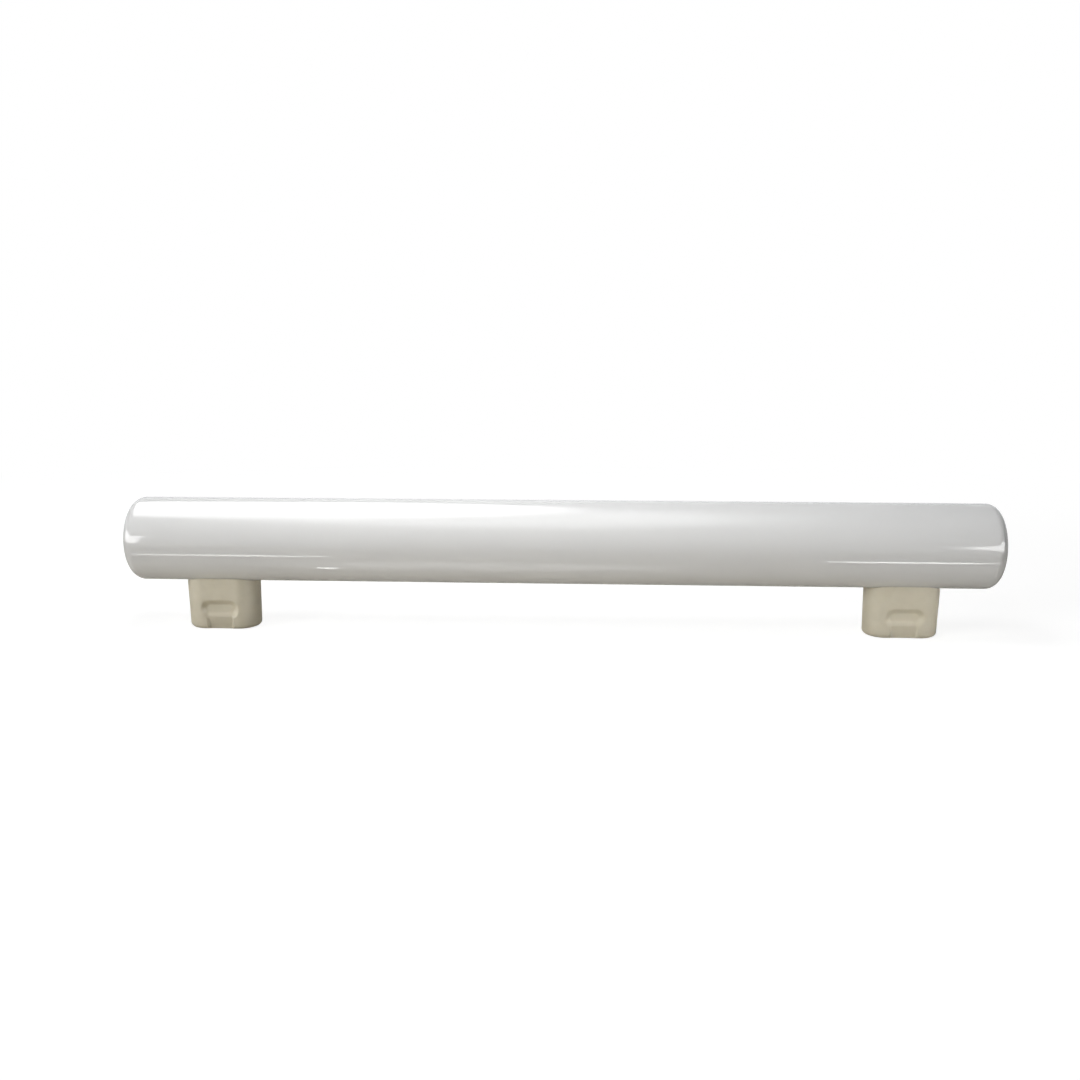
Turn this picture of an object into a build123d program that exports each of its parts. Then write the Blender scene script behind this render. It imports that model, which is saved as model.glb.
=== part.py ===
from build123d import *
import os
from math import radians, sqrt, tan

# Linear lamp with two side caps: a sealed opal glass tube, closed by shallow domes,
# that stands on two moulded caps cemented under it.
# Millimetres. X runs along the tube, Y across it, Z up, and the caps stand on Z = 0.

# Glass tube
tube_length = 300.0
tube_diameter = 29.0
shoulder_radius = 4.0
dome_radius = 38.5

# Caps: drafted mouldings with full round ends, wider at the glass than at the foot
cap_inset = 32.0
cap_reach = 16.7
foot_width = 24.9
foot_thickness = 13.4
draft_angle = 1.0
cap_wall = 3.0
cap_floor = 3.6
foot_bevel = 0.9

# Pocket in both broad faces of a cap, where a spring of the holder snaps in
pocket_width = 13.2
pocket_height = 6.3
pocket_low = 4.1
pocket_depth = 1.5
pocket_splay = 45.0

# Ramp from the foot up to the pocket, which spreads the spring as the lamp is pushed in
ramp_width = 9.2
ramp_depth = 1.3
ramp_splay = 30.0

# Contact: a stamped strip in a recess of the foot, with legs clinched over inside the cap
strip_length = 9.0
strip_width = 5.6
strip_thickness = 0.5
strip_hole = 1.0
strip_clearance = 0.15
contact_setback = 0.8
clinch_length = 1.6

# Lead wire from the glass to the contact, its bore in the floor, and the drop of solder on it
lead_diameter = 0.6
lead_bore = 2.0
solder_diameter = 3.0
solder_height = 0.5

# Cement bed between the glass and the rim of a cap
cement_line = 0.25
cement_setback = 0.2

# Derived sizes and places
tube_radius = tube_diameter / 2
axis_height = cap_reach + tube_radius
saddle_radius = tube_radius + cement_line
cap_place = tube_length / 2 - cap_inset
draft = tan(radians(draft_angle))
pocket_middle = pocket_low + pocket_height / 2
seat_height = contact_setback + strip_thickness

# Cutting shapes start one wall outside the face that they open
overrun = cap_wall


def rod_on_axis(radius):
    """Round bar on the axis of the tube, long enough to pass both ends of a cap."""
    return Pos(0, 0, axis_height) * Rot(0, 90, 0) * Cylinder(radius, 2 * foot_width)


def upright_bar(radius, low, high):
    """Upright round bar between two heights."""
    bar = Cylinder(radius, high - low, align=(Align.CENTER, Align.CENTER, Align.MIN))
    return Pos(0, 0, low) * bar


def stadium_block(inset, low, taper=0.0):
    """Block with full round ends, inset from the foot outline, from a height up to the axis."""
    outline = Pos(0, 0, low) * SlotOverall(foot_width - 2 * inset, foot_thickness - 2 * inset)
    return extrude(outline, axis_height - low, taper=-taper)


def make_glass_tube():
    """Sealed envelope turned about its axis: straight wall, shoulder arcs and shallow domes."""
    half = tube_length / 2
    dome_centre = half - dome_radius
    shoulder_drop = tube_radius - shoulder_radius
    shoulder_shift = sqrt((dome_radius - shoulder_radius) ** 2 - shoulder_drop**2)
    stretch = dome_radius / (dome_radius - shoulder_radius)
    meeting = (dome_centre + stretch * shoulder_shift, stretch * shoulder_drop)
    wall = Line((0, tube_radius), (dome_centre + shoulder_shift, tube_radius))
    shoulder = TangentArc(wall @ 1, meeting, tangent=wall % 1)
    dome = TangentArc(shoulder @ 1, (half, 0), tangent=shoulder % 1)
    axis_line = Polyline(dome @ 1, (0, 0), wall @ 0)
    half_tube = revolve(make_face([wall, shoulder, dome, axis_line]), Axis.X)
    return Pos(0, 0, axis_height) * (half_tube + mirror(half_tube, Plane.YZ))


def pocket_cutter():
    """Obround dish with splayed walls and a flat floor, in the front face of a cap."""
    face_y = foot_thickness / 2 + pocket_middle * draft
    face = Plane((0, -face_y, pocket_middle), x_dir=(1, 0, 0), z_dir=(0, 1, draft))
    widen = 2 * overrun * tan(radians(pocket_splay))
    outline = face.offset(-overrun) * SlotOverall(pocket_width + widen, pocket_height + widen)
    return extrude(outline, pocket_depth + overrun, taper=pocket_splay)


def ramp_cutter():
    """Wedge that is deepest at the foot and runs out to the front face at mid pocket."""
    splay = tan(radians(ramp_splay))
    outer = ramp_width / 2 + overrun * splay
    sections = []
    for level in (-overrun, pocket_middle):
        face_y = -foot_thickness / 2 - level * draft
        depth = ramp_depth * (1 - level / pocket_middle)
        inner = ramp_width / 2 - depth * splay
        corners = [(-outer, face_y - overrun), (outer, face_y - overrun),
                   (inner, face_y + depth), (-inner, face_y + depth)]
        sections.append(Pos(0, 0, level) * make_face(Polyline(*corners, close=True)))
    return loft(sections, ruled=True)


def contact_seat():
    """Recess for the contact strip, slots for its two legs and the bore for the lead wire."""
    grounded = (Align.CENTER, Align.CENTER, Align.MIN)
    width = strip_width + 2 * strip_clearance
    recess = Box(strip_length + 2 * strip_clearance, width, seat_height + overrun, align=grounded)
    slot = Box(strip_thickness + 2 * strip_clearance, width, cap_floor + overrun, align=grounded)
    leg_place = (strip_length - strip_thickness) / 2
    seat = Pos(0, 0, -overrun) * recess + upright_bar(lead_bore / 2, 0, cap_floor + overrun)
    return seat + Pos(leg_place, 0, 0) * slot + Pos(-leg_place, 0, 0) * slot


def make_cap():
    """Hollow cap with a saddle for the glass, two pockets with ramps and a contact seat."""
    body = stadium_block(0, 0, draft_angle)
    body = chamfer(body.faces().sort_by(Axis.Z)[0].edges(), foot_bevel)
    body -= stadium_block(cap_wall, cap_floor)
    body -= rod_on_axis(saddle_radius)
    body -= contact_seat()
    notch = pocket_cutter() + ramp_cutter()
    return body - notch - mirror(notch, Plane.XZ)


def make_contact():
    """Stamped strip with a hole for the lead and two legs bent up and clinched over the floor."""
    end = strip_length / 2
    leg = end - strip_thickness
    toe = end + clinch_length
    toe_top = cap_floor + strip_thickness
    outline = Polyline((-end, contact_setback), (end, contact_setback), (end, cap_floor),
                       (toe, cap_floor), (toe, toe_top), (leg, toe_top), (leg, seat_height),
                       (-leg, seat_height), (-leg, toe_top), (-toe, toe_top), (-toe, cap_floor),
                       (-end, cap_floor), close=True)
    strip = extrude(Plane.XZ * make_face(outline), strip_width / 2, both=True)
    return strip - upright_bar(strip_hole / 2, 0, cap_floor)


def make_lead():
    """Straight lead wire from the underside of the glass to the face of the contact."""
    return upright_bar(lead_diameter / 2, contact_setback, cap_reach)


def make_solder():
    """Drop of solder on the contact face that also fills the hole round the lead."""
    hole, wire, half = strip_hole / 2, lead_diameter / 2, solder_diameter / 2
    drop = TangentArc((0, contact_setback - solder_height), (half, contact_setback), tangent=(1, 0))
    rest = Polyline(drop @ 1, (hole, contact_setback), (hole, seat_height), (wire, seat_height),
                    (wire, contact_setback), (0, contact_setback), drop @ 0)
    return revolve(Plane.XZ * make_face([drop, rest]), Axis.Z)


def make_cement():
    """Thin bed between the glass and the rim of a cap, set back a little from its drafted wall."""
    bed = stadium_block(cement_setback, 0, draft_angle) - stadium_block(cap_wall, 0)
    bed &= rod_on_axis(saddle_radius)
    return bed - rod_on_axis(tube_radius)


os.makedirs("parts", exist_ok=True)
export_step(make_glass_tube(), "parts/glass_tube.step")
side_pieces = {"cap": make_cap(), "contact": make_contact(), "lead": make_lead(),
               "solder": make_solder(), "cement": make_cement()}
for side, place in (("left", -cap_place), ("right", cap_place)):
    for name, piece in side_pieces.items():
        export_step(Pos(place, 0, 0) * piece, f"parts/{side}_{name}.step")
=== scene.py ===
"""Looks of a linear lamp: an opal glass tube on two moulded side caps.

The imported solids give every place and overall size. The glass, the caps, the contacts and the
solder are modelled again here as fine meshes, and the other solids keep their shape and get a finish.
Sizes of the object are in millimetres, and those of the studio are in metres.
"""
import logging
import math
from dataclasses import dataclass, field
from enum import Enum
from typing import Any, Iterable, Mapping, Sequence

import bmesh
import bpy
from mathutils import Matrix, Vector


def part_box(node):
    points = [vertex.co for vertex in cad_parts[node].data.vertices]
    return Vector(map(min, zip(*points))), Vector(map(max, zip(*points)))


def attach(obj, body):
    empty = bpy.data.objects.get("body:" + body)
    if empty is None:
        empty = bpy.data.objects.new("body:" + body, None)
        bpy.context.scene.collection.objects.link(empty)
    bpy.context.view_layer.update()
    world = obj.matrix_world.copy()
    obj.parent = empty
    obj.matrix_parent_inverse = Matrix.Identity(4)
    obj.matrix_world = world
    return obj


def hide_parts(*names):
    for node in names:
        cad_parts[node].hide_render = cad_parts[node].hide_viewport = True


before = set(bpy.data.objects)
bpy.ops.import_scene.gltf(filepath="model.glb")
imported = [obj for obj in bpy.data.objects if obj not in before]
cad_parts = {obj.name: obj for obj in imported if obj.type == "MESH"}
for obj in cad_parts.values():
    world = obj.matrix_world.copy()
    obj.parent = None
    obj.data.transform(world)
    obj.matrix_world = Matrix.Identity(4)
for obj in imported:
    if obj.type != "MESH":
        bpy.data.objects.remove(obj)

LOG = logging.getLogger("lamp")
BODY = "root"
MM = 0.001
MERGE_DISTANCE = 1e-4
UP = Vector((0.0, 0.0, 1.0))
WHITE = (1.0, 1.0, 1.0, 1.0)

# Values between which most of a noise lies, and the octaves and strength of the finishes
BUSY_RANGE = (0.3, 0.7)
MOTTLE_DETAIL = 3.0
GRAIN_DETAIL = 2.0
BUMP_STRENGTH = 0.5

# Edges: angle in radians above which they are softened, profile of that rounding,
# and angle in degrees above which they stay sharp in the shading
SHARP_ANGLE = 1.0
ROUND_PROFILE = 0.5
CREASE = 40.0

# Lamps: energy that gives an area of one square metre a radiance of one,
# and the beam and height of those that lie on the floor
UNIT_ENERGY = 4.0
GLEAM_BEAM = 124.0
GLEAM_HEIGHT = 0.0006

Colour = tuple[float, float, float]
Point = tuple[float, float, float]


class Side(Enum):
    """End of the lamp that a cap belongs to."""

    LEFT = "left"
    RIGHT = "right"


class Slot(Enum):
    """Names of the material slots, one held by each finish."""

    GLASS = "opal_glass"
    CAP = "cap_moulding"
    CONTACT = "contact_brass"
    LEAD = "lead_wire"
    SOLDER = "solder"
    CEMENT = "cement"


class Kind(Enum):
    """Shader nodes that the finishes and the studio use."""

    BACKGROUND = "ShaderNodeBackground"
    BUMP = "ShaderNodeBump"
    COORDINATES = "ShaderNodeTexCoord"
    DIFFUSE = "ShaderNodeBsdfDiffuse"
    EMISSION = "ShaderNodeEmission"
    LIGHT_PATH = "ShaderNodeLightPath"
    MAPPING = "ShaderNodeMapping"
    MAP_RANGE = "ShaderNodeMapRange"
    MATH = "ShaderNodeMath"
    MIX_SHADER = "ShaderNodeMixShader"
    NOISE = "ShaderNodeTexNoise"
    OUTPUT = "ShaderNodeOutputMaterial"
    PRINCIPLED = "ShaderNodeBsdfPrincipled"
    RAMP = "ShaderNodeValToRGB"
    SEPARATE = "ShaderNodeSeparateXYZ"
    TRANSPARENT = "ShaderNodeBsdfTransparent"
    VECTOR_MATH = "ShaderNodeVectorMath"
    WORLD_OUTPUT = "ShaderNodeOutputWorld"


@dataclass(frozen=True)
class Graph:
    """Node tree that is filled one node at a time."""

    tree: bpy.types.NodeTree

    @classmethod
    def fresh(cls, owner: bpy.types.Material | bpy.types.World) -> "Graph":
        """Starts the node tree of a material or a world afresh.

        Args:
            owner: Material or world.

        Returns:
            The empty node tree.
        """
        owner.use_nodes = True
        owner.node_tree.nodes.clear()
        return cls(owner.node_tree)

    def add(self, kind: Kind, sockets: Mapping[str | int, Any], **settings: Any) -> bpy.types.Node:
        """Adds a node.

        Args:
            kind: Kind of node.
            sockets: Constant or output socket for each input, by name or number.
            **settings: Properties of the node itself.

        Returns:
            The new node.
        """
        node = self.tree.nodes.new(kind.value)
        for name, value in settings.items():
            setattr(node, name, value)
        for key, value in sockets.items():
            if isinstance(value, bpy.types.NodeSocket):
                self.tree.links.new(value, node.inputs[key])
            else:
                node.inputs[key].default_value = value
        return node

    def noise(self, scale: float, detail: float, stretch: Point = (1.0, 1.0, 1.0)) -> bpy.types.NodeSocket:
        """Adds a noise on the object's own coordinates.

        Args:
            scale: Number of features in a metre.
            detail: Number of finer octaves.
            stretch: Factor on the coordinates along each axis.

        Returns:
            Output socket with values from 0 to 1.
        """
        place = self.add(Kind.COORDINATES, {}).outputs["Object"]
        mapped = self.add(Kind.MAPPING, {"Vector": place, "Scale": stretch}).outputs["Vector"]
        return self.add(Kind.NOISE, {"Vector": mapped, "Scale": scale, "Detail": detail}).outputs["Fac"]

    def ramp(self, value: bpy.types.NodeSocket, low: Colour, high: Colour) -> bpy.types.NodeSocket:
        """Adds a ramp between two colours over the busy middle of a noise.

        Args:
            value: Socket with values from 0 to 1.
            low: Colour of low values.
            high: Colour of high values.

        Returns:
            Output socket with the colour.
        """
        node = self.add(Kind.RAMP, {"Fac": value})
        for stop, position, colour in zip(node.color_ramp.elements, BUSY_RANGE, (low, high)):
            stop.position = position
            stop.color = (*colour, 1.0)
        return node.outputs["Color"]

    def spread(self, value: bpy.types.NodeSocket, low: float, high: float) -> bpy.types.NodeSocket:
        """Adds a node that spreads the busy middle of a noise over a range.

        Args:
            value: Socket with values from 0 to 1.
            low: Result for low values.
            high: Result for high values.

        Returns:
            Output socket with the number.
        """
        bottom, top = BUSY_RANGE
        sockets = {"Value": value, "From Min": bottom, "From Max": top, "To Min": low, "To Max": high}
        return self.add(Kind.MAP_RANGE, sockets).outputs["Result"]

    def fade(self, value: bpy.types.NodeSocket, near: float, far: float, start: float, end: float,
             ) -> bpy.types.NodeSocket:
        """Adds a smooth change from one number to another.

        Args:
            value: Socket with the distance that the change follows.
            near: Distance where the change starts.
            far: Distance where it ends.
            start: Result up to the near distance.
            end: Result from the far distance on.

        Returns:
            Output socket with the number.
        """
        sockets = {"Value": value, "From Min": near, "From Max": far, "To Min": start, "To Max": end}
        return self.add(Kind.MAP_RANGE, sockets, interpolation_type="SMOOTHSTEP").outputs["Result"]


@dataclass(frozen=True)
class Finish:
    """Surface with a mottled colour, an uneven gloss and a fine relief."""

    name: str
    slot: Slot
    low: Colour
    high: Colour
    mottle: float
    gloss: tuple[float, float]
    grain: float
    relief: float
    stretch: Point = (1.0, 1.0, 1.0)
    metallic: float = 0.0
    ior: float = 1.5
    subsurface: float = 0.0
    glow_depth: Point = (1.0, 1.0, 1.0)

    def material(self) -> bpy.types.Material:
        """Makes the material, or finds the one made before.

        Returns:
            The material of this finish.
        """
        if self.name in bpy.data.materials:
            return bpy.data.materials[self.name]
        material = bpy.data.materials.new(self.name)
        graph = Graph.fresh(material)
        patches = graph.noise(self.mottle, MOTTLE_DETAIL, self.stretch)
        grain = graph.noise(self.grain, GRAIN_DETAIL, self.stretch)
        bump = graph.add(Kind.BUMP, {
            "Height": grain, "Strength": BUMP_STRENGTH, "Distance": self.relief * MM})
        shader = graph.add(Kind.PRINCIPLED, {
            "Base Color": graph.ramp(patches, self.low, self.high),
            "Roughness": graph.spread(grain, *self.gloss),
            "Metallic": self.metallic,
            "IOR": self.ior,
            "Subsurface Weight": self.subsurface,
            "Subsurface Radius": self.glow_depth,
            "Subsurface Scale": MM,
            "Normal": bump.outputs["Normal"],
        })
        graph.add(Kind.OUTPUT, {"Surface": shader.outputs["BSDF"]})
        return material

    def dress(self, piece: bpy.types.Object) -> None:
        """Gives a piece this finish.

        Args:
            piece: New mesh, or an object of the frame.
        """
        piece.data.materials.clear()
        piece.data.materials.append(self.material())


OPAL_GLASS = Finish(
    name="glossy_opal_glass", slot=Slot.GLASS, low=(0.765, 0.768, 0.765), high=(0.8, 0.803, 0.803),
    mottle=14.0, gloss=(0.03, 0.07), grain=120.0, relief=0.001, stretch=(0.08, 1.0, 1.0))
CAP_MOULDING = Finish(
    name="beige_cap_moulding", slot=Slot.CAP, low=(0.63, 0.583, 0.46), high=(0.67, 0.623, 0.5), mottle=260.0,
    gloss=(0.33, 0.45), grain=5200.0, relief=0.012, subsurface=0.12, glow_depth=(1.2, 0.9, 0.6))
CONTACT_BRASS = Finish(
    name="pressed_brass", slot=Slot.CONTACT, low=(0.62, 0.43, 0.16), high=(0.76, 0.57, 0.27), mottle=420.0,
    gloss=(0.22, 0.4), grain=5200.0, relief=0.006, stretch=(0.12, 1.0, 1.0), metallic=1.0)
LEAD_STEEL = Finish(
    name="drawn_lead_wire", slot=Slot.LEAD, low=(0.5, 0.49, 0.47), high=(0.62, 0.61, 0.59), mottle=600.0,
    gloss=(0.25, 0.4), grain=6000.0, relief=0.004, stretch=(1.0, 1.0, 0.1), metallic=1.0)
DULL_SOLDER = Finish(
    name="dull_solder", slot=Slot.SOLDER, low=(0.46, 0.46, 0.47), high=(0.66, 0.66, 0.68), mottle=900.0,
    gloss=(0.3, 0.55), grain=2600.0, relief=0.03, metallic=1.0)
CEMENT_BED = Finish(
    name="cap_cement", slot=Slot.CEMENT, low=(0.52, 0.49, 0.42), high=(0.6, 0.57, 0.49), mottle=900.0,
    gloss=(0.75, 0.9), grain=5200.0, relief=0.05)


def link(name: str, data: bpy.types.ID) -> bpy.types.Object:
    """Adds an object to the scene.

    Args:
        name: Name of the object.
        data: Its mesh, lamp or camera.

    Returns:
        The new object.
    """
    item = bpy.data.objects.new(name, data)
    bpy.context.scene.collection.objects.link(item)
    return item


def aim_from(item: bpy.types.Object, place: Point, aim: Point) -> None:
    """Moves an object to a place and turns it to look at a point."""
    item.location = place
    item.rotation_euler = (Vector(aim) - Vector(place)).to_track_quat("-Z", "Y").to_euler()


@dataclass
class Draft:
    """Mesh in the making, in millimetres, with the strokes that its sections are drawn with."""

    bm: bmesh.types.BMesh

    def point(self, x: float, y: float, z: float) -> bmesh.types.BMVert:
        """Starts a section at a point."""
        return self.bm.verts.new((x, y, z))

    def arc(self, start: bmesh.types.BMVert, centre: Sequence[float], axis: Sequence[float], angle: float,
            steps: int) -> bmesh.types.BMVert:
        """Draws an arc from a vertex.

        Args:
            start: Vertex at the start of the arc.
            centre: Centre of the arc.
            axis: Axis that the arc turns about.
            angle: Angle of the arc in radians.
            steps: Number of edges.

        Returns:
            Vertex at the end of the arc.
        """
        drawn = bmesh.ops.spin(self.bm, geom=[start], cent=centre, axis=axis, angle=angle, steps=steps)
        return next(item for item in drawn["geom_last"] if isinstance(item, bmesh.types.BMVert))

    def line(self, start: bmesh.types.BMVert, end: Sequence[float], steps: int = 1) -> bmesh.types.BMVert:
        """Draws a straight line from a vertex.

        Args:
            start: Vertex at the start of the line.
            end: Point where the line ends.
            steps: Number of edges.

        Returns:
            Vertex at the end of the line.
        """
        stride = (Vector(end) - start.co) / steps
        for _ in range(steps):
            start = bmesh.ops.extrude_vert_indiv(self.bm, verts=[start])["verts"][0]
            start.co += stride
        return start

    def bend(self, edges: Iterable[bmesh.types.BMEdge], centre: Sequence[float], axis: Sequence[float],
             angle: float, steps: int) -> list[bmesh.types.BMEdge]:
        """Carries edges round a bend.

        Args:
            edges: Edges to carry.
            centre: Point on the axis of the bend.
            axis: Direction of the axis.
            angle: Angle of the bend in radians.
            steps: Number of faces round the bend.

        Returns:
            The edges at the end of the bend.
        """
        swept = bmesh.ops.spin(self.bm, geom=list(edges), cent=centre, axis=axis, angle=angle, steps=steps)
        return [item for item in swept["geom_last"] if isinstance(item, bmesh.types.BMEdge)]

    def turn(self, axis_point: Sequence[float], axis: Sequence[float], steps: int) -> None:
        """Turns all that is drawn through a full circle and closes the skin.

        Args:
            axis_point: Point on the axis.
            axis: Direction of the axis.
            steps: Number of faces in the circle.
        """
        section = [*self.bm.verts, *self.bm.edges]
        bmesh.ops.spin(self.bm, geom=section, cent=axis_point, axis=axis, angle=math.tau, steps=steps,
                       use_merge=True)
        self.close()

    def sweep(self, edges: Iterable[bmesh.types.BMEdge], shift: Sequence[float], steps: int = 1,
              ) -> list[bmesh.types.BMEdge]:
        """Extrudes edges along a straight way.

        Args:
            edges: Edges to extrude.
            shift: Whole length and direction of the way.
            steps: Number of faces along the way.

        Returns:
            The edges at the end of the way.
        """
        edges = list(edges)
        for _ in range(steps):
            grown = bmesh.ops.extrude_edge_only(self.bm, edges=edges)["geom"]
            edges = [item for item in grown if isinstance(item, bmesh.types.BMEdge)]
            corners = [item for item in grown if isinstance(item, bmesh.types.BMVert)]
            bmesh.ops.translate(self.bm, verts=corners, vec=Vector(shift) / steps)
            edges = [edge for edge in edges if all(corner in corners for corner in edge.verts)]
        return edges

    def rims(self, low: float, high: float) -> list[bmesh.types.BMEdge]:
        """Finds the open edges between two heights.

        Args:
            low: Lowest height.
            high: Highest height.

        Returns:
            Edges that have fewer than two faces and lie between the heights.
        """
        return [edge for edge in self.bm.edges
                if len(edge.link_faces) < 2 and all(low <= end.co.z <= high for end in edge.verts)]

    def cover(self, level: float) -> None:
        """Fills the flat face between all the open edges at a height.

        Args:
            level: Height of the face.
        """
        edges = self.rims(level - MERGE_DISTANCE, level + MERGE_DISTANCE)
        bmesh.ops.triangle_fill(self.bm, use_beauty=True, use_dissolve=False, edges=edges)

    def soften(self, edges: list[bmesh.types.BMEdge], offset: float, segments: int) -> None:
        """Rounds edges.

        Args:
            edges: Edges to round.
            offset: Width of the rounding on each face.
            segments: Number of faces across it.
        """
        bmesh.ops.bevel(self.bm, geom=edges, offset=offset, offset_type="OFFSET", segments=segments,
                        profile=ROUND_PROFILE, affect="EDGES", material=-1)

    def close(self) -> None:
        """Merges the doubles and turns all faces outwards."""
        bmesh.ops.remove_doubles(self.bm, verts=self.bm.verts, dist=MERGE_DISTANCE)
        bmesh.ops.recalc_face_normals(self.bm, faces=self.bm.faces)

    def finish(self, name: str, place: Sequence[float], crease: float = CREASE) -> bpy.types.Object:
        """Makes the mesh an object in metres, at its place in the frame.

        Args:
            name: Name of the piece.
            place: Place of the mesh's own origin, in metres.
            crease: Angle in degrees above which an edge stays sharp in the shading.

        Returns:
            The new object, with its place in its mesh.
        """
        self.close()
        for face in self.bm.faces:
            face.smooth = True
        for edge in self.bm.edges:
            edge.smooth = edge.calc_face_angle(math.pi) < math.radians(crease)
        open_edges = sum(not edge.is_manifold for edge in self.bm.edges)
        bmesh.ops.transform(self.bm, matrix=Matrix.Translation(place) @ Matrix.Scale(MM, 4),
                            verts=self.bm.verts)
        mesh = bpy.data.meshes.new(name)
        self.bm.to_mesh(mesh)
        self.bm.free()
        piece = link(name, mesh)
        LOG.info("%s: %d faces, %d open edges", name, len(mesh.polygons), open_edges)
        return piece


def stand_in(piece: bpy.types.Object, node: str, finish: Finish) -> None:
    """Puts a new piece in the place of a solid and dresses it.

    Args:
        piece: The new piece.
        node: Name of the solid that it stands for.
        finish: Finish of the piece.
    """
    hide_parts(node)
    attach(piece, BODY)
    finish.dress(piece)


def soft_max(first: float, second: float, blend: float) -> float:
    """Larger of two numbers, with a rounded change from one to the other."""
    overlap = max(blend - abs(first - second), 0.0)
    return max(first, second) + overlap * overlap / (4.0 * blend)


def soft_min(first: float, second: float, blend: float) -> float:
    """Smaller of two numbers, with a rounded change from one to the other."""
    return -soft_max(-first, -second, blend)


def smooth_step(value: float, low: float, high: float) -> float:
    """Rise from 0 to 1 between two values, level at both ends."""
    share = min(max((value - low) / (high - low), 0.0), 1.0)
    return share * share * (3.0 - 2.0 * share)


@dataclass
class GlassTube:
    """Sealed tube with rounded shoulders and shallow domed ends."""

    node: str = "glass_tube"
    shoulder_radius: float = 4.0
    dome_radius: float = 38.5
    dome_steps: int = 14
    shoulder_steps: int = 16
    wall_steps: int = 36
    round_steps: int = 224
    crease: float = 60.0

    def build(self) -> bpy.types.Object:
        """Models the tube about its own middle and dresses it.

        Returns:
            The finished piece.
        """
        low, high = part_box(self.node)
        half = (high.x - low.x) / 2 / MM
        radius = min(high.y - low.y, high.z - low.z) / 2 / MM
        inner = self.dome_radius - self.shoulder_radius
        drop = radius - self.shoulder_radius
        spread = math.asin(drop / inner)
        dome_centre = (half - self.dome_radius, 0.0, 0.0)
        shoulder_centre = (half - self.dome_radius + inner * math.cos(spread), 0.0, drop)
        draft = Draft(bmesh.new())
        tip = draft.point(half, 0.0, 0.0)
        meeting = draft.arc(tip, dome_centre, (0, -1, 0), spread, self.dome_steps)
        edge = draft.arc(meeting, shoulder_centre, (0, -1, 0), math.pi / 2 - spread, self.shoulder_steps)
        draft.line(edge, (0.0, 0.0, radius), self.wall_steps)
        bmesh.ops.mirror(draft.bm, geom=[*draft.bm.verts, *draft.bm.edges], axis="X",
                         merge_dist=MERGE_DISTANCE)
        draft.turn((0, 0, 0), (1, 0, 0), self.round_steps)
        piece = draft.finish("opal_tube", (low + high) / 2, self.crease)
        stand_in(piece, self.node, OPAL_GLASS)
        return piece


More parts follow.
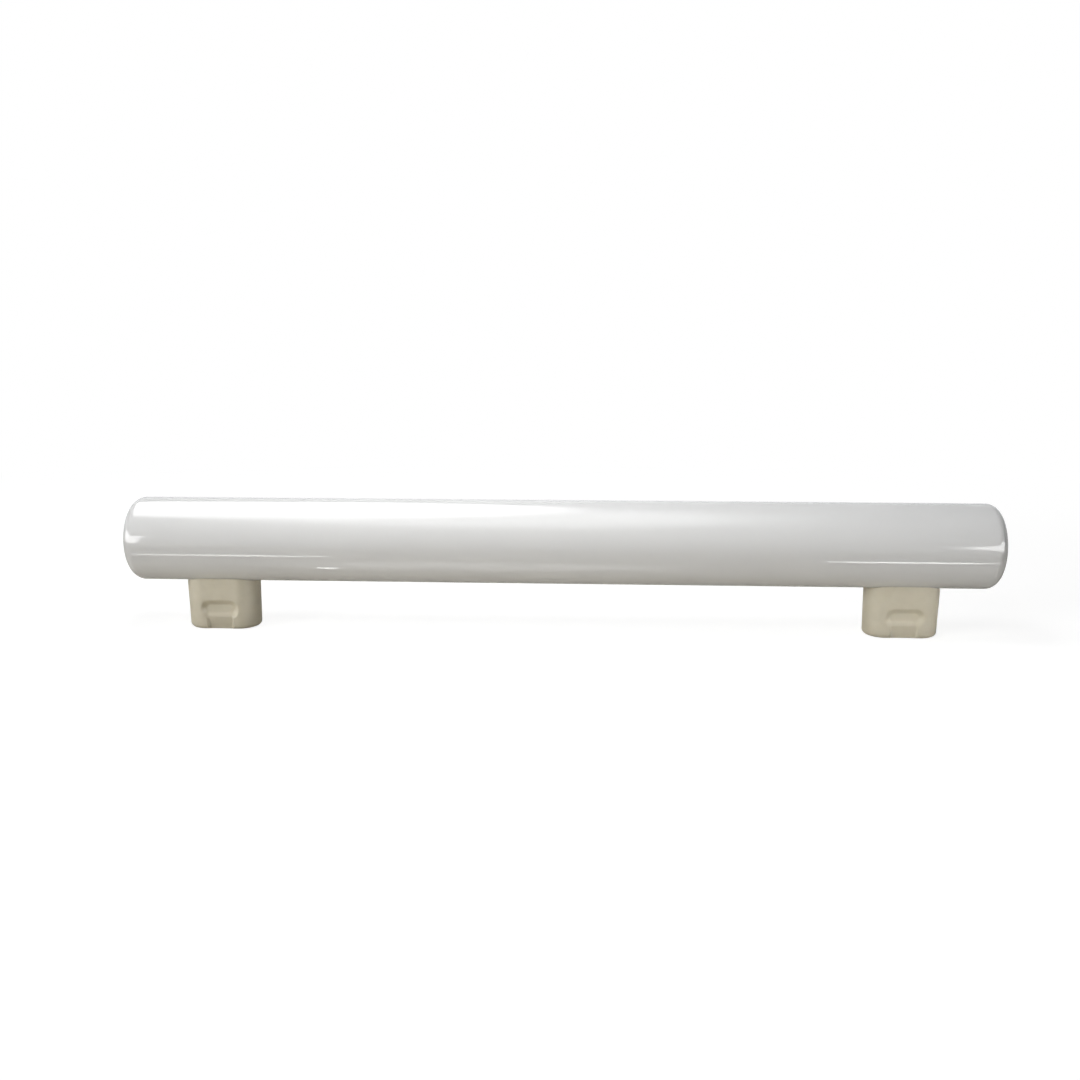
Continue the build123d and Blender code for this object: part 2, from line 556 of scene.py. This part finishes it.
@dataclass
class MouldedCap:
    """Hollow cap with a saddle, a spring pocket and a ramp in both broad faces, and a contact seat."""

    side: Side
    tube_radius: float
    axis_height: float
    foot_width: float = 24.9
    foot_thickness: float = 13.4
    draft_angle: float = 1.0
    wall: float = 3.0
    floor: float = 3.6
    foot_rounding: float = 1.5
    rim_rounding: float = 0.2
    cement_line: float = 0.25
    pocket_width: float = 13.2
    pocket_height: float = 6.3
    pocket_low: float = 4.1
    pocket_depth: float = 1.5
    ramp_width: float = 9.2
    ramp_depth: float = 1.3
    ramp_splay: float = 30.0
    edge_softness: float = 0.45
    floor_softness: float = 0.45
    recess_length: float = 9.3
    recess_width: float = 5.9
    seat_height: float = 1.3
    slot_length: float = 0.8
    lead_bore: float = 2.0
    recess_bevel: float = 0.2
    land_radius: float = 4.4
    grid: float = 0.18
    end_steps: int = 96
    bore_steps: int = 32
    foot_steps: int = 10
    upper_steps: int = 12
    rim_steps: int = 5
    land_steps: int = 8
    hollow_steps: int = 6
    bevel_steps: int = 3
    node: str = field(init=False)
    slope: float = field(init=False)
    flat: float = field(init=False)
    pocket_middle: float = field(init=False)
    saddle_radius: float = field(init=False)
    shoulder: float = field(init=False)
    top: float = field(init=False)

    def __post_init__(self) -> None:
        """Works out the sizes that follow from the others."""
        self.node = f"{self.side.value}_cap"
        self.slope = math.tan(math.radians(self.draft_angle))
        self.flat = self.foot_width - self.foot_thickness
        self.pocket_middle = self.pocket_low + self.pocket_height / 2
        self.saddle_radius = self.tube_radius + self.cement_line
        self.shoulder = self.pocket_low + self.pocket_height + 2 * self.edge_softness
        self.top = self.saddle(self.foot_thickness / 2)

    def saddle(self, y: float) -> float:
        """Height of the saddle at a distance from the middle plane."""
        return self.axis_height - math.sqrt(self.saddle_radius ** 2 - y ** 2)

    def build(self) -> bpy.types.Object:
        """Models the cap about the middle of its foot and dresses it.

        Returns:
            The finished piece.
        """
        low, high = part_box(self.node)
        draft = Draft(bmesh.new())
        self.draw_shell(draft)
        self.press_faces(draft)
        self.hollow_seat(draft)
        place = ((low.x + high.x) / 2, 0.0, low.z)
        piece = draft.finish(f"{self.side.value}_moulded_cap", place)
        stand_in(piece, self.node, CAP_MOULDING)
        return piece

    def draw_shell(self, draft: Draft) -> None:
        """Draws the section of the wall and takes it round the stadium of the cap.

        Args:
            draft: Empty mesh.
        """
        tilt = math.radians(self.draft_angle)
        end = self.flat / 2
        radius = self.foot_thickness / 2
        inner = end + radius - self.wall
        foot_edge = end + radius + self.foot_rounding * (self.slope - 1 / math.cos(tilt))
        foot = draft.point(foot_edge, 0.0, 0.0)
        foot_centre = (foot_edge, 0.0, self.foot_rounding)
        wall = draft.arc(foot, foot_centre, (0, -1, 0), math.pi / 2 - tilt, self.foot_steps)
        pressed = (self.shoulder, round(self.shoulder / self.grid))
        plain = (self.top - self.rim_rounding, self.upper_steps)
        for level, steps in (pressed, plain):
            wall = draft.line(wall, (end + radius + level * self.slope, 0.0, level), steps)
        rim_centre = wall.co + self.rim_rounding * Vector((-math.cos(tilt), 0.0, math.sin(tilt)))
        rim = draft.arc(wall, rim_centre, (0, -1, 0), math.pi / 2 + tilt, self.rim_steps)
        land = draft.line(rim, (inner, 0.0, rim.co.z), self.land_steps)
        draft.line(land, (inner, 0.0, self.floor), self.hollow_steps)
        section = [*draft.bm.verts, *draft.bm.edges]
        quarter_turn = Matrix.Rotation(-math.pi / 2, 3, "Z")
        bmesh.ops.rotate(draft.bm, verts=draft.bm.verts, cent=(end, 0, 0), matrix=quarter_turn)
        first = [item for item in section if isinstance(item, bmesh.types.BMEdge)]
        turned = bmesh.ops.spin(draft.bm, geom=section, cent=(end, 0, 0), axis=(0, 0, 1), angle=math.pi,
                                steps=self.end_steps)
        last = [item for item in turned["geom_last"] if isinstance(item, bmesh.types.BMEdge)]
        for column in (first, last):
            draft.sweep(column, (-end, 0.0, 0.0), round(end / self.grid))
        bmesh.ops.mirror(draft.bm, geom=[*draft.bm.verts, *draft.bm.edges, *draft.bm.faces], axis="X",
                         merge_dist=MERGE_DISTANCE)
        draft.close()

    def notch_depth(self, x: float, z: float) -> float:
        """Depth of the pocket and the ramp below the flat of a broad face.

        Args:
            x: Distance from the middle of the face.
            z: Height above the foot.

        Returns:
            Depth in millimetres, negative outside both.
        """
        radius = self.pocket_height / 2
        beyond = max(abs(x) - (self.pocket_width / 2 - radius), 0.0)
        inside = radius - math.hypot(beyond, z - self.pocket_middle)
        pocket = soft_min(inside, self.pocket_depth, self.floor_softness)
        wedge = self.ramp_depth * (1 - z / self.pocket_middle)
        cheek = (self.ramp_width / 2 - abs(x)) / math.tan(math.radians(self.ramp_splay))
        return soft_max(pocket, soft_min(wedge, cheek, self.edge_softness), self.edge_softness)

    def press_faces(self, draft: Draft) -> None:
        """Presses the notches into the broad faces and lays the rim on the saddle.

        Args:
            draft: Mesh of the shell.
        """
        for corner in draft.bm.verts:
            x, y, z = corner.co
            if z < self.shoulder and abs(y) > self.foot_thickness / 4:
                face = self.foot_thickness / 2 + z * self.slope
                cut = self.notch_depth(x, z) - face
                corner.co.y = -math.copysign(soft_max(-abs(y), cut, self.edge_softness), -y)
            rise = smooth_step(z, self.shoulder, self.top - 2 * self.rim_rounding)
            outward = Vector((x - min(max(x, -self.flat / 2), self.flat / 2), y, 0.0))
            share = (outward.length - self.foot_thickness / 2) / self.wall + 1.0
            lean = self.slope * min(max(share, 0.0), 1.0) * outward.normalized()
            corner.co += rise * (self.saddle(y) - self.top) * (UP + lean)

    def hollow_seat(self, draft: Draft) -> None:
        """Makes the contact recess, the two slots and the lead bore, and closes the foot and the floor.

        Args:
            draft: Mesh of the shell, open at the foot and at the floor of its hollow.
        """
        bm = draft.bm
        land = draft.sweep(draft.rims(-MERGE_DISTANCE, MERGE_DISTANCE), (0.0, 0.0, 0.0))
        for corner in {end for edge in land for end in edge.verts}:
            middle = Vector((min(max(corner.co.x, -self.flat / 2), self.flat / 2), 0.0, 0.0))
            corner.co = middle + self.land_radius * (corner.co - middle).normalized()
        long, wide = self.recess_length / 2, self.recess_width / 2
        cells = bmesh.ops.create_grid(bm, x_segments=3, y_segments=1, size=1.0)
        for corner in cells["verts"]:
            outer = abs(corner.co.x) > 0.5
            reach = long if outer else long - self.slot_length
            corner.co = (math.copysign(reach, corner.co.x), math.copysign(wide, corner.co.y), 0.0)
        mouth = list({face for corner in cells["verts"] for face in corner.link_faces})
        ceiling = self.raise_faces(bm, mouth, self.seat_height)
        slots = [face for face in ceiling if abs(face.calc_center_median().x) > self.recess_length / 4]
        middle = [face for face in ceiling if face not in slots]
        slot_tops = self.raise_faces(bm, slots, self.floor - self.seat_height)
        bmesh.ops.delete(bm, geom=[*middle, *slot_tops], context="FACES")
        bore = bmesh.ops.create_circle(bm, segments=self.bore_steps, radius=self.lead_bore / 2)["verts"]
        bmesh.ops.translate(bm, verts=bore, vec=UP * self.seat_height)
        ring = list({edge for corner in bore for edge in corner.link_edges})
        draft.cover(self.seat_height)
        draft.sweep(ring, UP * (self.floor - self.seat_height))
        draft.close()
        draft.cover(self.floor)
        draft.cover(0.0)
        draft.close()
        mouth_edges = [edge for edge in bm.edges if edge.calc_face_angle(0.0) > SHARP_ANGLE
                       and all(self.at_mouth(end.co) for end in edge.verts)]
        draft.soften(mouth_edges, self.recess_bevel, self.bevel_steps)

    def at_mouth(self, point: Vector) -> bool:
        """Tells whether a point lies in the foot and at the mouth of the contact recess.

        Args:
            point: Point in the cap's own millimetres.

        Returns:
            True within a grid step of the recess, at the level of the foot.
        """
        in_length = abs(point.x) < self.recess_length / 2 + self.grid
        in_width = abs(point.y) < self.recess_width / 2 + self.grid
        return abs(point.z) < MERGE_DISTANCE and in_length and in_width

    @staticmethod
    def raise_faces(bm: bmesh.types.BMesh, faces: list[bmesh.types.BMFace], height: float,
                    ) -> list[bmesh.types.BMFace]:
        """Extrudes faces upwards and removes the faces that they start from.

        Args:
            bm: Mesh that holds the faces.
            faces: Faces to raise.
            height: Height to raise them by.

        Returns:
            The raised faces.
        """
        grown = bmesh.ops.extrude_face_region(bm, geom=faces)["geom"]
        corners = [item for item in grown if isinstance(item, bmesh.types.BMVert)]
        bmesh.ops.translate(bm, verts=corners, vec=UP * height)
        bmesh.ops.delete(bm, geom=[face for face in faces if face.is_valid], context="FACES")
        return [item for item in grown if isinstance(item, bmesh.types.BMFace)]


@dataclass
class ContactStrip:
    """Stamped strip with a hole for the lead and two legs, bent up and clinched outwards."""

    side: Side
    length: float = 9.0
    width: float = 5.6
    thickness: float = 0.5
    hole: float = 1.0
    clinch: float = 1.6
    inner_bend: float = 0.15
    edge_rounding: float = 0.06
    bend_steps: int = 6
    hole_steps: int = 32
    bevel_steps: int = 2

    def build(self) -> bpy.types.Object:
        """Models the strip as a bent sheet about the middle of its web and dresses it.

        Returns:
            The finished piece.
        """
        node = f"{self.side.value}_contact"
        low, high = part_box(node)
        draft = Draft(bmesh.new())
        bm = draft.bm
        self.draw_sheet(draft, (high.z - low.z) / MM - self.thickness)
        bmesh.ops.recalc_face_normals(bm, faces=bm.faces)
        bmesh.ops.solidify(bm, geom=list(bm.faces), thickness=self.thickness)
        draft.close()
        levels = [corner.co.z for corner in bm.verts]
        bmesh.ops.translate(bm, verts=bm.verts, vec=-UP * ((max(levels) + min(levels)) / 2))
        sharp = [edge for edge in bm.edges if edge.calc_face_angle(0.0) > SHARP_ANGLE
                 and all(end.co.xy.length > self.hole for end in edge.verts)]
        draft.soften(sharp, self.edge_rounding, self.bevel_steps)
        place = ((low.x + high.x) / 2, 0.0, (low.z + high.z) / 2)
        piece = draft.finish(f"{self.side.value}_contact_strip", place)
        stand_in(piece, node, CONTACT_BRASS)
        return piece

    def draw_sheet(self, draft: Draft, rise: float) -> None:
        """Draws the middle of the sheet: the web with its hole, then both legs and their toes.

        Args:
            draft: Empty mesh.
            rise: Height from the web to the toes.
        """
        bm = draft.bm
        bend = self.inner_bend + self.thickness / 2
        leg = (self.length - self.thickness) / 2
        toe = self.length / 2 + self.clinch
        web = bmesh.ops.create_grid(bm, x_segments=1, y_segments=1, size=1.0)["verts"]
        bmesh.ops.scale(bm, verts=web, vec=(leg - bend, self.width / 2, 1.0))
        bmesh.ops.delete(bm, geom=list(bm.faces), context="FACES_ONLY")
        bmesh.ops.create_circle(bm, segments=self.hole_steps, radius=self.hole / 2)
        draft.cover(0.0)
        for way in (1.0, -1.0):
            edges = [edge for edge in draft.rims(0.0, 0.0)
                     if all(way * end.co.x > leg - bend - MERGE_DISTANCE for end in edge.verts)]
            low_bend = (way * (leg - bend), 0, bend)
            high_bend = (way * (leg + bend), 0, rise - bend)
            edges = draft.bend(edges, low_bend, (0, -way, 0), math.pi / 2, self.bend_steps)
            edges = draft.sweep(edges, UP * (rise - 2 * bend))
            edges = draft.bend(edges, high_bend, (0, way, 0), math.pi / 2, self.bend_steps)
            draft.sweep(edges, (way * (toe - leg - bend), 0.0, 0.0))


@dataclass
class SolderDrop:
    """Drop of solder on the contact that also fills the hole round the lead."""

    side: Side
    diameter: float = 3.0
    height: float = 0.5
    hole: float = 1.0
    lead: float = 0.6
    strip: float = 0.5
    arc_steps: int = 10
    round_steps: int = 48

    def build(self) -> bpy.types.Object:
        """Models the drop about the middle of the contact's face and dresses it.

        Returns:
            The finished piece.
        """
        node = f"{self.side.value}_solder"
        low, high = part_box(node)
        half = self.diameter / 2
        bend = (half ** 2 + self.height ** 2) / (2 * self.height)
        draft = Draft(bmesh.new())
        tip = draft.point(0.0, 0.0, -self.height)
        centre = (0.0, 0.0, bend - self.height)
        edge = draft.arc(tip, centre, (0, -1, 0), math.asin(half / bend), self.arc_steps)
        corners = ((self.hole, 0.0), (self.hole, self.strip), (self.lead, self.strip),
                   (self.lead, 0.0), (0.0, 0.0))
        for across, level in corners:
            edge = draft.line(edge, (across / 2, 0.0, level))
        draft.turn((0, 0, 0), (0, 0, 1), self.round_steps)
        place = ((low.x + high.x) / 2, 0.0, low.z + self.height * MM)
        piece = draft.finish(f"{self.side.value}_solder_drop", place)
        stand_in(piece, node, DULL_SOLDER)
        return piece


@dataclass(frozen=True)
class Softbox:
    """Lamp of the studio, in metres, aimed at a point: it lights the object or only gleams on it."""

    name: str
    place: Point
    aim: Point
    size: tuple[float, float]
    radiance: float
    lights: bool = True
    beam: float = 180.0

    def build(self) -> bpy.types.Object:
        """Makes the lamp: one that lights the object is a rectangle, and one that only gleams is an oval.

        Returns:
            The lamp's object, which the camera doesn't see.
        """
        light = bpy.data.lights.new(self.name, "AREA")
        light.shape = "RECTANGLE" if self.lights else "ELLIPSE"
        light.size, light.size_y = self.size
        light.energy = UNIT_ENERGY * self.size[0] * self.size[1] * self.radiance
        light.spread = math.radians(self.beam)
        lamp = link(self.name, light)
        aim_from(lamp, self.place, self.aim)
        lamp.visible_camera = False
        lamp.visible_diffuse = self.lights
        lamp.visible_glossy = not self.lights
        return lamp


def gleam(name: str, x: float, y: float, size: tuple[float, float], radiance: float) -> Softbox:
    """Plans an oval lamp that lies on the floor, faces up and only shows in reflections.

    Args:
        name: Name of the lamp.
        x: Place of its middle along the tube.
        y: Place of its middle across the tube.
        size: Length and width.
        radiance: Brightness.

    Returns:
        The lamp, which isn't built yet.
    """
    return Softbox(name, (x, y, GLEAM_HEIGHT), (x, y, 1.0), size, radiance, lights=False, beam=GLEAM_BEAM)


@dataclass(frozen=True)
class GlowPanel:
    """Feathered panel, in metres, that only reflections see."""

    name: str
    place: Point
    aim: Point
    size: tuple[float, float]
    radiance: float
    core: float
    boxed: bool = False

    def build(self) -> bpy.types.Object:
        """Makes the panel as an oval or boxed glow that fades from its core to its edge.

        Returns:
            The panel, which only glossy rays see.
        """
        bm = bmesh.new()
        bmesh.ops.create_grid(bm, x_segments=1, y_segments=1, size=0.5)
        bmesh.ops.scale(bm, verts=bm.verts, vec=(*self.size, 1.0))
        panel = stage_mesh(self.name, bm)
        aim_from(panel, self.place, self.aim)
        graph = Graph.fresh(panel.data.materials[0])
        place = graph.add(Kind.COORDINATES, {}).outputs["Object"]
        to_unit = (2.0 / self.size[0], 2.0 / self.size[1], 1.0)
        unit = graph.add(Kind.MAPPING, {"Vector": place, "Scale": to_unit}).outputs["Vector"]
        if self.boxed:
            offset = graph.add(Kind.VECTOR_MATH, {0: unit}, operation="ABSOLUTE").outputs["Vector"]
            along, across, _ = graph.add(Kind.SEPARATE, {"Vector": offset}).outputs
            away = graph.add(Kind.MATH, {0: along, 1: across}, operation="MAXIMUM").outputs[0]
        else:
            away = graph.add(Kind.VECTOR_MATH, {0: unit}, operation="LENGTH").outputs["Value"]
        strength = graph.fade(away, self.core, 1.0, self.radiance, 0.0)
        glow = graph.add(Kind.EMISSION, {"Color": WHITE, "Strength": strength}).outputs[0]
        clear = graph.add(Kind.TRANSPARENT, {}).outputs[0]
        share = graph.fade(away, self.core, 1.0, 1.0, 0.0)
        surface = graph.add(Kind.MIX_SHADER, {0: share, 1: clear, 2: glow}).outputs[0]
        graph.add(Kind.OUTPUT, {"Surface": surface})
        reflections_only(panel)
        return panel


def stage_mesh(name: str, bm: bmesh.types.BMesh) -> bpy.types.Object:
    """Makes a mesh an object of the studio.

    Args:
        name: Name of the object.
        bm: Mesh in metres, which is freed.

    Returns:
        The object, with an empty material of the same name.
    """
    mesh = bpy.data.meshes.new(name)
    bm.to_mesh(mesh)
    bm.free()
    mesh.materials.append(bpy.data.materials.new(name))
    item = link(name, mesh)
    return item


def reflections_only(item: bpy.types.Object) -> None:
    """Hides an object of the studio from all rays but glossy ones.

    Args:
        item: Object of the studio.
    """
    item.visible_camera = False
    item.visible_diffuse = False
    item.visible_transmission = False
    item.visible_volume_scatter = False
    item.visible_shadow = False


@dataclass
class Studio:
    """White floor and surround, lamps, glow panels, a grey flag behind the object, and the camera."""

    eye: Point = (0.0118, -0.3611, 0.1059)
    aim: Point = (-0.0062, 0.0, 0.0318)
    lens: float = 35.56
    sensor: float = 36.0
    clip_start: float = 0.01
    floor_reach: float = 12.0
    floor_drop: float = 0.0001
    floor_tone: Colour = (0.98, 0.98, 0.98)
    floor_bounce: Colour = (0.61, 0.58, 0.52)
    shadow_seen: float = 0.3
    near_glow: float = 1.23
    shadow_reach: tuple[float, float] = (0.1, 0.42)
    shadow_squeeze: Point = (0.55, 1.0, 1.0)
    surround: float = 0.02
    flag_distance: float = 1.1
    flag_height: float = 0.45
    flag_sweep: float = 210.0
    flag_steps: int = 48
    flag_tone: Colour = (0.8, 0.82, 0.84)
    lamps: tuple[Softbox, ...] = (
        Softbox("overhead_softbox", (-0.05, -0.03, 0.315), (-0.05, 0.0, 0.03), (0.14, 0.14), 6.2),
        Softbox("front_softbox", (-0.01, -0.2, 0.24), (0.0, 0.0, 0.03), (0.14, 0.1), 3.1),
        Softbox("back_softbox", (-0.35, 1.15, 0.4), (0.0, 0.0, 0.03), (0.8, 0.5), 3.2),
        Softbox("left_softbox", (-1.15, -0.86, 0.55), (0.0, 0.0, 0.02), (0.6, 0.5), 6.6),
        Softbox("left_lamp", (-0.434, -0.5, 0.16), (-0.12, 0.0, 0.03), (0.13, 0.14), 3.6),
        Softbox("right_lamp", (0.42, -0.4, 0.05), (0.12, 0.0, 0.01), (0.14, 0.1), 0.25, beam=34.0),
        Softbox("right_snoot", (0.4225, -0.175, 0.012), (0.12, 0.0, 0.008), (0.03, 0.02), 0.28, beam=8.0),
        gleam("left_gleam", -0.132, -0.053, (0.09, 0.0058), 10.0),
        gleam("middle_gleam", -0.084, -0.0193, (0.009, 0.0026), 3.5),
        gleam("right_gleam", 0.133, -0.053, (0.072, 0.0058), 14.0),
    )
    glows: tuple[GlowPanel, ...] = (
        GlowPanel("overhead_glow", (-0.42, 0.3, 1.0), (-0.42, 0.3, 0.0), (1.0, 1.7), 7.0, core=0.7),
        GlowPanel("ceiling_glow", (-0.15, -0.25, 1.03), (-0.15, -0.25, 0.0), (1.3, 2.2), 4.0, core=0.35),
        GlowPanel("left_glow", (-0.5405, -0.266, 0.09), (-0.142, 0.0, 0.031), (0.646, 0.18), 9.0, core=0.925,
                  boxed=True),
        GlowPanel("right_glow", (0.477, -0.312, 0.077), (0.142, 0.0, 0.031), (0.574, 0.22), 8.5, core=0.85),
        GlowPanel("floor_glow", (-0.03, -0.028, 0.0005), (-0.03, -0.028, 1.0), (0.26, 0.034), 1.8, core=0.3),
    )

    @staticmethod
    def white_rays(graph: Graph) -> bpy.types.NodeSocket:
        """Adds a mask of the rays that see a white surround.

        Args:
            graph: Node tree of the floor or the world.

        Returns:
            Output socket that is 1 for camera, glossy and transmission rays, and 0 for the others.
        """
        path = graph.add(Kind.LIGHT_PATH, {}).outputs
        seen = graph.add(Kind.MATH, {0: path["Is Camera Ray"], 1: path["Is Glossy Ray"]}, operation="MAXIMUM")
        return graph.add(Kind.MATH, {0: seen.outputs[0], 1: path["Is Transmission Ray"]},
                         operation="MAXIMUM").outputs[0]

    def build_world(self) -> None:
        """Makes a surround that looks white and gives a dim even light."""
        world = bpy.data.worlds.new("white_surround")
        graph = Graph.fresh(world)
        white, dim = (graph.add(Kind.BACKGROUND, {"Color": WHITE, "Strength": strength})
                      for strength in (1.0, self.surround))
        mixed = graph.add(Kind.MIX_SHADER, {
            0: self.white_rays(graph), 1: dim.outputs[0], 2: white.outputs[0]})
        graph.add(Kind.WORLD_OUTPUT, {"Surface": mixed.outputs[0]})
        bpy.context.scene.world = world

    def build_floor(self) -> bpy.types.Object:
        """Makes a floor that looks white and keeps a soft shadow round the object.

        Returns:
            The floor.
        """
        bm = bmesh.new()
        bmesh.ops.create_grid(bm, x_segments=1, y_segments=1, size=self.floor_reach)
        bmesh.ops.translate(bm, verts=bm.verts, vec=-UP * self.floor_drop)
        floor = stage_mesh("white_floor", bm)
        graph = Graph.fresh(floor.data.materials[0])
        place = graph.add(Kind.COORDINATES, {}).outputs["Object"]
        squeezed = graph.add(Kind.MAPPING, {"Vector": place, "Scale": self.shadow_squeeze}).outputs["Vector"]
        away = graph.add(Kind.VECTOR_MATH, {0: squeezed}, operation="LENGTH").outputs["Value"]
        seen = graph.add(Kind.LIGHT_PATH, {}).outputs["Is Camera Ray"]
        near, far = self.shadow_reach
        lift = graph.fade(away, near, far, 1.0 - self.shadow_seen, 1.0)
        mirror = graph.fade(away, near, far, 0.0, 1.0)
        white = self.white_rays(graph)
        mirrored = graph.add(Kind.MATH, {0: white, 1: mirror}, operation="MULTIPLY").outputs[0]
        strength = graph.fade(away, near, far, self.near_glow, 1.0)
        glow = graph.add(Kind.EMISSION, {"Color": WHITE, "Strength": strength}).outputs[0]
        pale = graph.add(Kind.DIFFUSE, {"Color": (*self.floor_tone, 1.0)}).outputs[0]
        dull = graph.add(Kind.DIFFUSE, {"Color": (*self.floor_bounce, 1.0)}).outputs[0]
        direct = graph.add(Kind.MIX_SHADER, {0: lift, 1: pale, 2: glow}).outputs[0]
        indirect = graph.add(Kind.MIX_SHADER, {0: mirrored, 1: dull, 2: glow}).outputs[0]
        surface = graph.add(Kind.MIX_SHADER, {0: seen, 1: indirect, 2: direct}).outputs[0]
        graph.add(Kind.OUTPUT, {"Surface": surface})
        return floor

    def build_flag(self) -> bpy.types.Object:
        """Makes a curved grey flag behind the object, which gives the glossy glass a clear outline.

        Returns:
            The flag, which only glossy rays see.
        """
        draft = Draft(bmesh.new())
        half_sweep = math.radians(self.flag_sweep) / 2
        start_x = self.flag_distance * math.sin(half_sweep)
        start_y = self.flag_distance * math.cos(half_sweep)
        foot = draft.point(start_x, start_y, 0.0)
        draft.line(foot, (foot.co.x, foot.co.y, self.flag_height))
        bmesh.ops.spin(draft.bm, geom=[*draft.bm.verts, *draft.bm.edges], cent=(0, 0, 0), axis=(0, 0, 1),
                       angle=2 * half_sweep, steps=self.flag_steps)
        flag = stage_mesh("grey_flag", draft.bm)
        graph = Graph.fresh(flag.data.materials[0])
        glow = graph.add(Kind.EMISSION, {"Color": (*self.flag_tone, 1.0), "Strength": 1.0}).outputs[0]
        graph.add(Kind.OUTPUT, {"Surface": glow})
        reflections_only(flag)
        return flag

    def build_camera(self) -> bpy.types.Object:
        """Makes the camera at the photograph's viewing angle.

        Returns:
            The camera's object.
        """
        data = bpy.data.cameras.new("studio_camera")
        data.sensor_width = self.sensor
        data.lens = self.lens
        data.clip_start = self.clip_start
        camera = link("studio_camera", data)
        aim_from(camera, self.eye, self.aim)
        bpy.context.scene.camera = camera
        return camera

    def build(self) -> None:
        """Makes the whole studio."""
        bpy.context.scene.view_settings.view_transform = "Standard"
        self.build_world()
        self.build_floor()
        self.build_flag()
        for light in (*self.lamps, *self.glows):
            light.build()
        self.build_camera()


def dress_solids(nodes: Mapping[str, bpy.types.Object]) -> None:
    """Gives a finish to the solids that keep their own shape.

    Args:
        nodes: Objects of the frame by name.
    """
    finishes = {"lead": LEAD_STEEL, "cement": CEMENT_BED}
    for side in Side:
        for piece, finish in finishes.items():
            node = f"{side.value}_{piece}"
            finish.dress(nodes[node])
            LOG.info("%s: dressed as %s", node, finish.name)


def main() -> None:
    """Builds the lamp and its studio."""
    logging.basicConfig(level=logging.INFO, format="%(name)s %(message)s")
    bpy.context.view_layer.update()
    Studio().build()
    tube = GlassTube()
    tube.build()
    low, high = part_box(tube.node)
    tube_radius = (high.z - low.z) / 2 / MM
    axis_height = (high.z + low.z) / 2 / MM
    for side in Side:
        MouldedCap(side, tube_radius, axis_height).build()
        ContactStrip(side).build()
        SolderDrop(side).build()
    dress_solids(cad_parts)


if __name__ == "__main__":
    main()
